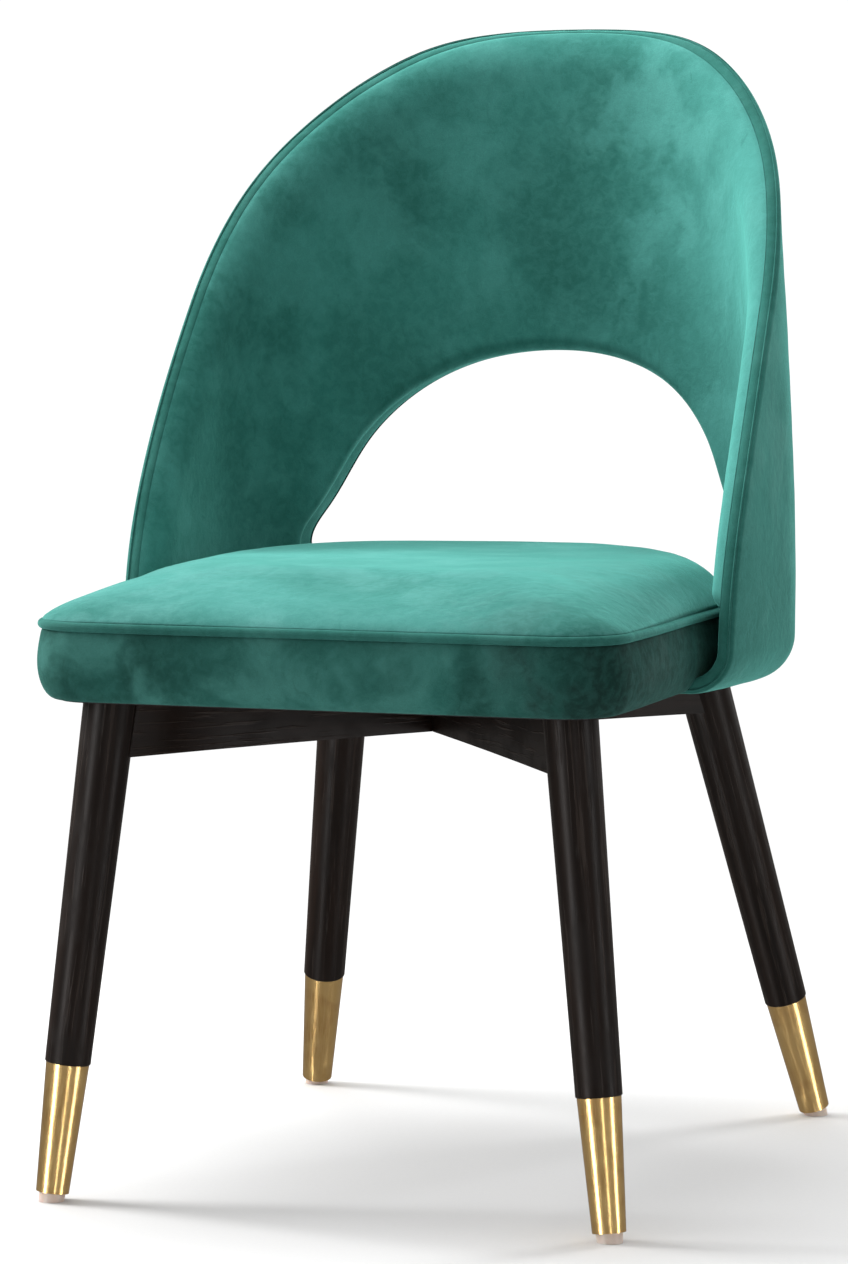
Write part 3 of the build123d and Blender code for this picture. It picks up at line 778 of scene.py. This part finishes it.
SEAT_MIDDLE = np.array([0.0, -60.0, SEAM_Z])
NEAR_SEAM = np.array([0, 0.5, 1.2, 2.2, 3.6, 5.4, 7.6, 10.5, 14, 18.5, 24, 31, 39, 48, 58], float)
CROWN_ROWS, LAST_SHARE = 40, 0.985
ROLL, FRONT_ROLL = 56.0, 150.0
FRONT_FROM, FRONT_WITHIN = -110.0, 150.0
CROWN_POWER = 0.62
DOME, DOME_WITHIN = 2.0, 120.0
TUCK_INSET, TUCK_RISE, CROWN_START = 2.6, 1.6, 2.2
SMOOTH_REACH, SMOOTH_SPREAD = 90, 30.0
SMOOTH_FROM, SMOOTH_WITHIN = 6.0, 40.0
WAVES_WITHIN = 60.0


def crown_share(distance, y):
    """Share of the crown's height at a distance from the seam. The front rolls more gently."""
    front = np.clip((FRONT_FROM - y) / FRONT_WITHIN, 0, 1)
    roll = ROLL + FRONT_ROLL * front * front * (3 - 2 * front)
    return (1 - (1 - np.clip(distance / roll, 0, 1)) ** 2) ** CROWN_POWER


def smoothed(rows):
    """Closed rows averaged along themselves with a bell-shaped window."""
    window = np.exp(-0.5 * (np.arange(-SMOOTH_REACH, SMOOTH_REACH + 1) / SMOOTH_SPREAD) ** 2)
    window /= window.sum()
    wrapped = np.concatenate([rows[:, -SMOOTH_REACH:], rows, rows[:, :SMOOTH_REACH]], axis=1)
    return np.stack([np.convolve(row, window, mode="valid") for row in wrapped])


reach = np.linalg.norm(outline - SEAT_MIDDLE, axis=1)
near = NEAR_SEAM[:, None] / reach
middle = np.linspace(near[-1], np.full(SEAT_COUNT, LAST_SHARE), CROWN_ROWS)[1:]
plan = outline[None] + (SEAT_MIDDLE - outline)[None] * np.vstack([near, middle])[..., None]
inside = distance_to(plan, outline)
above = plan * np.array([1.0, 1.0, 0.0])
waves = 0.8 * ripple(above, 210.0, 21) + 0.25 * ripple(above, 55.0, 22)
height = CROWN * crown_share(inside, plan[..., 1]) + DOME * (1 - np.exp(-inside / DOME_WITHIN))
height += (smoothed(height) - height) * np.clip((inside - SMOOTH_FROM) / SMOOTH_WITHIN, 0, 1)
height += np.clip(inside / WAVES_WITHIN, 0, 1) * waves
plan[..., 2] = SEAM_Z + CROWN_START + height
plan[0] = seat_ring(TUCK_INSET, SEAM_Z + TUCK_RISE)
vertices = np.vstack([plan.reshape(-1, 3), plan[-1].mean(axis=0)])
faces = grid_faces(len(plan), SEAT_COUNT, True)
last_row = (len(plan) - 1) * SEAT_COUNT
for c in range(SEAT_COUNT):
    faces.append((last_row + c, last_row + (c + 1) % SEAT_COUNT, len(vertices) - 1))
seat_top = make_mesh("seat_cushion", vertices, faces, velvet_top_painted_lit)
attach(seat_top, "root")
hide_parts("seat_top_cover", "seat_foam")

# ---------------------------------------------------------------- seat: boxing and its cord

BOXING_TOP, BOXING_BOTTOM = SEAM_Z - 1.6, 372.0
SWELL_FROM, SWELL_FULL = 4.0, 26.0
SWELL_START, SWELL = 0.3, 3.2
LOWER_INSET = 14.0
SHELL_FRONT, FLANGE_CLEAR = -74.0, 383.0
CORD_INSET, CORD_SIDES = 0.7, 16

# Inset and height down the boxing: tucked under the cord, swelling, and rolled under the seat.
profile = [(2.6, BOXING_TOP), (0.8, BOXING_TOP - 1.6), (-SWELL_START, BOXING_TOP - SWELL_FROM)]
for share in np.linspace(0.08, 1.0, 12):
    swell = SWELL_START + (SWELL - SWELL_START) * math.sin(QUARTER_TURN * share)
    profile.append((-swell, BOXING_TOP - SWELL_FROM - share * (SWELL_FULL - SWELL_FROM)))
lower_height = BOXING_TOP - SWELL_FULL - BOXING_BOTTOM
for t in np.linspace(0, QUARTER_TURN, 16)[1:]:
    z = BOXING_TOP - SWELL_FULL - lower_height * math.sin(t)
    profile.append((LOWER_INSET * (1 - math.cos(t)) - SWELL, z))
profile += [(14.0, BOXING_BOTTOM), (20.0, BOXING_BOTTOM + 0.3), (26.0, BOXING_BOTTOM + 1.4)]
puff = 0.5 * ripple(outline, 120.0, 31) + 0.16 * ripple(outline, 26.0, 32)
boxing_rows = []
for inset, z in profile:
    share = min(1.0, max(0.0, (BOXING_TOP - z) / (BOXING_TOP - BOXING_BOTTOM)))
    ring = seat_ring(inset - math.sin(math.pi * share) * puff, z)
    in_shell = ring[:, 1] > SHELL_FRONT
    ring[in_shell, 2] = np.maximum(ring[in_shell, 2], FLANGE_CLEAR)
    boxing_rows.append(ring)
boxing = grid_object("seat_boxing_cover", np.stack(boxing_rows), velvet_side_painted_shade, flip=True)
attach(boxing, "root")
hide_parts("seat_boxing")

cord_path = seat_ring(CORD_INSET, SEAM_Z)
cord_path[:, 2] += 0.35 * ripple(outline, 160.0, 41)
cord_ahead = np.roll(cord_path, -1, axis=0) - np.roll(cord_path, 1, axis=0)
seat_pipe = cord_object(
    "seat_piping_cord", cord_path, cord_ahead, outward, CORD_RADIUS, CORD_SIDES, velvet_cord, True
)
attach(seat_pipe, "root")
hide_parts("seat_piping")

# ---------------------------------------------------------------- floor and world

WHITE = (1, 1, 1, 1)
WHITE_STRENGTH = 1.05
SKY_STRENGTH = 0.62
DIM, DIM_STRENGTH = (1.0, 0.95, 0.9, 1), 0.27
PAPER_DARK, PAPER_LIGHT = (0.58, 0.58, 0.58, 1), (0.61, 0.61, 0.61, 1)
FLOOR_HALF = 14000.0
FADE_FROM, FADE_TO = 0.55, 1.9


def mix_shaders(tree, factor, first, second):
    """Two shaders mixed."""
    inputs = {0: factor, 1: first.outputs[0], 2: second.outputs[0]}
    return add_node(tree, "ShaderNodeMixShader", inputs)


def floor_material():
    """Pale paper that washes out to plain white away from the chair."""
    material, tree, shader = new_material("floor_paper")
    here = place(tree)
    fibres = noise(tree, here, 260.0, detail=3.0)
    paper = blend(tree, fibres, PAPER_DARK, PAPER_LIGHT)
    relief = bump(tree, fibres, strength=0.05, distance=0.0002)
    finish_shader(tree, shader, Base_Color=paper, Normal=relief)
    shader.inputs["Roughness"].default_value = 0.8
    glow = add_node(tree, "ShaderNodeEmission", {"Color": WHITE, "Strength": WHITE_STRENGTH})
    away = add_node(tree, "ShaderNodeVectorMath", {0: here}, operation="LENGTH")
    fade = remap(tree, away.outputs["Value"], FADE_FROM, FADE_TO)
    seen = add_node(tree, "ShaderNodeLightPath", {}).outputs["Is Camera Ray"]
    share = add_node(tree, "ShaderNodeMath", {0: fade, 1: seen}, operation="MULTIPLY").outputs[0]
    output = next(node for node in tree.nodes if node.type == "OUTPUT_MATERIAL")
    tree.links.new(mix_shaders(tree, share, shader, glow).outputs[0], output.inputs["Surface"])
    return material


floor_line = np.linspace(-FLOOR_HALF, FLOOR_HALF, 15)
floor_grid = np.array([[(x, y, 0.0) for x in floor_line] for y in floor_line])
floor = grid_object("floor", floor_grid, floor_material(), closed=False)
floor.visible_glossy = False
floor.visible_shadow = False

# The world is white to the eye, softer as light, and dim in reflections, where the soft boxes show.
world = bpy.data.worlds.new("studio")
world.use_nodes = True
sky = world.node_tree
sky.nodes.clear()
backdrop, soft_sky, dim = (
    add_node(sky, "ShaderNodeBackground", {"Color": colour, "Strength": strength})
    for colour, strength in ((WHITE, WHITE_STRENGTH), (WHITE, SKY_STRENGTH), (DIM, DIM_STRENGTH))
)
ray = add_node(sky, "ShaderNodeLightPath", {})
lighting = mix_shaders(sky, ray.outputs["Is Glossy Ray"], soft_sky, dim)
shown = mix_shaders(sky, ray.outputs["Is Camera Ray"], lighting, backdrop)
add_node(sky, "ShaderNodeOutputWorld", {"Surface": shown.outputs[0]})
bpy.context.scene.world = world

# ---------------------------------------------------------------- lights and camera


def soft_light(name, spot, aim, width, height, power, mirrored_only=False):
    """A soft box aimed at a point. A mirrored_only one shows just as a streak in shiny pieces."""
    data = bpy.data.lights.new(name, "AREA")
    data.shape = "RECTANGLE"
    data.size, data.size_y = width, height
    data.energy = power
    lamp = bpy.data.objects.new(name, data)
    lamp.location = spot
    lamp.rotation_euler = (Vector(aim) - Vector(spot)).to_track_quat("-Z", "Y").to_euler()
    lamp.visible_diffuse = not mirrored_only
    bpy.context.scene.collection.objects.link(lamp)


CHAIR_MIDDLE, UNDER_SEAT, LEG_MIDDLE = (0.0, 0.0, 0.45), (0.0, 0.0, 0.4), (0.0, 0.0, 0.2)
STRIP_HEIGHT = 5.0
soft_light("key_left", (-2.7, -0.2, 1.8), CHAIR_MIDDLE, 1.2, 1.8, 125.0)
soft_light("back_right", (1.7, 2.4, 1.6), CHAIR_MIDDLE, 1.0, 2.0, 42.0)
soft_light("top", (-0.5, 0.2, 3.0), UNDER_SEAT, 2.0, 2.0, 88.0)
soft_light("front", (0.9, -3.4, 1.7), CHAIR_MIDDLE, 1.4, 1.4, 4.0)
soft_light("strip_left", (-1.5, -2.4, 0.2), LEG_MIDDLE, 0.5, STRIP_HEIGHT, 84.0, True)
soft_light("strip_middle", (1.9, -3.1, 0.2), LEG_MIDDLE, 0.14, STRIP_HEIGHT, 22.0, True)
soft_light("strip_right", (2.8, -0.5, 0.2), LEG_MIDDLE, 0.36, STRIP_HEIGHT, 50.0, True)

CAMERA_SPOT = Vector((1.27906, -3.55101, 0.71589))
CAMERA_TARGET = Vector((-0.00525, -0.04893, 0.40912))
CAMERA_LENS, CAMERA_SENSOR = 140.8, 36.0

camera_data = bpy.data.cameras.new("camera")
camera_data.lens = CAMERA_LENS
camera_data.sensor_width = CAMERA_SENSOR
camera_data.sensor_fit = "AUTO"
camera = bpy.data.objects.new("camera", camera_data)
camera.location = CAMERA_SPOT
camera.rotation_euler = (CAMERA_TARGET - CAMERA_SPOT).to_track_quat("-Z", "Y").to_euler()
bpy.context.scene.collection.objects.link(camera)
bpy.context.scene.camera = camera
bpy.context.scene.view_settings.view_transform = "Standard"
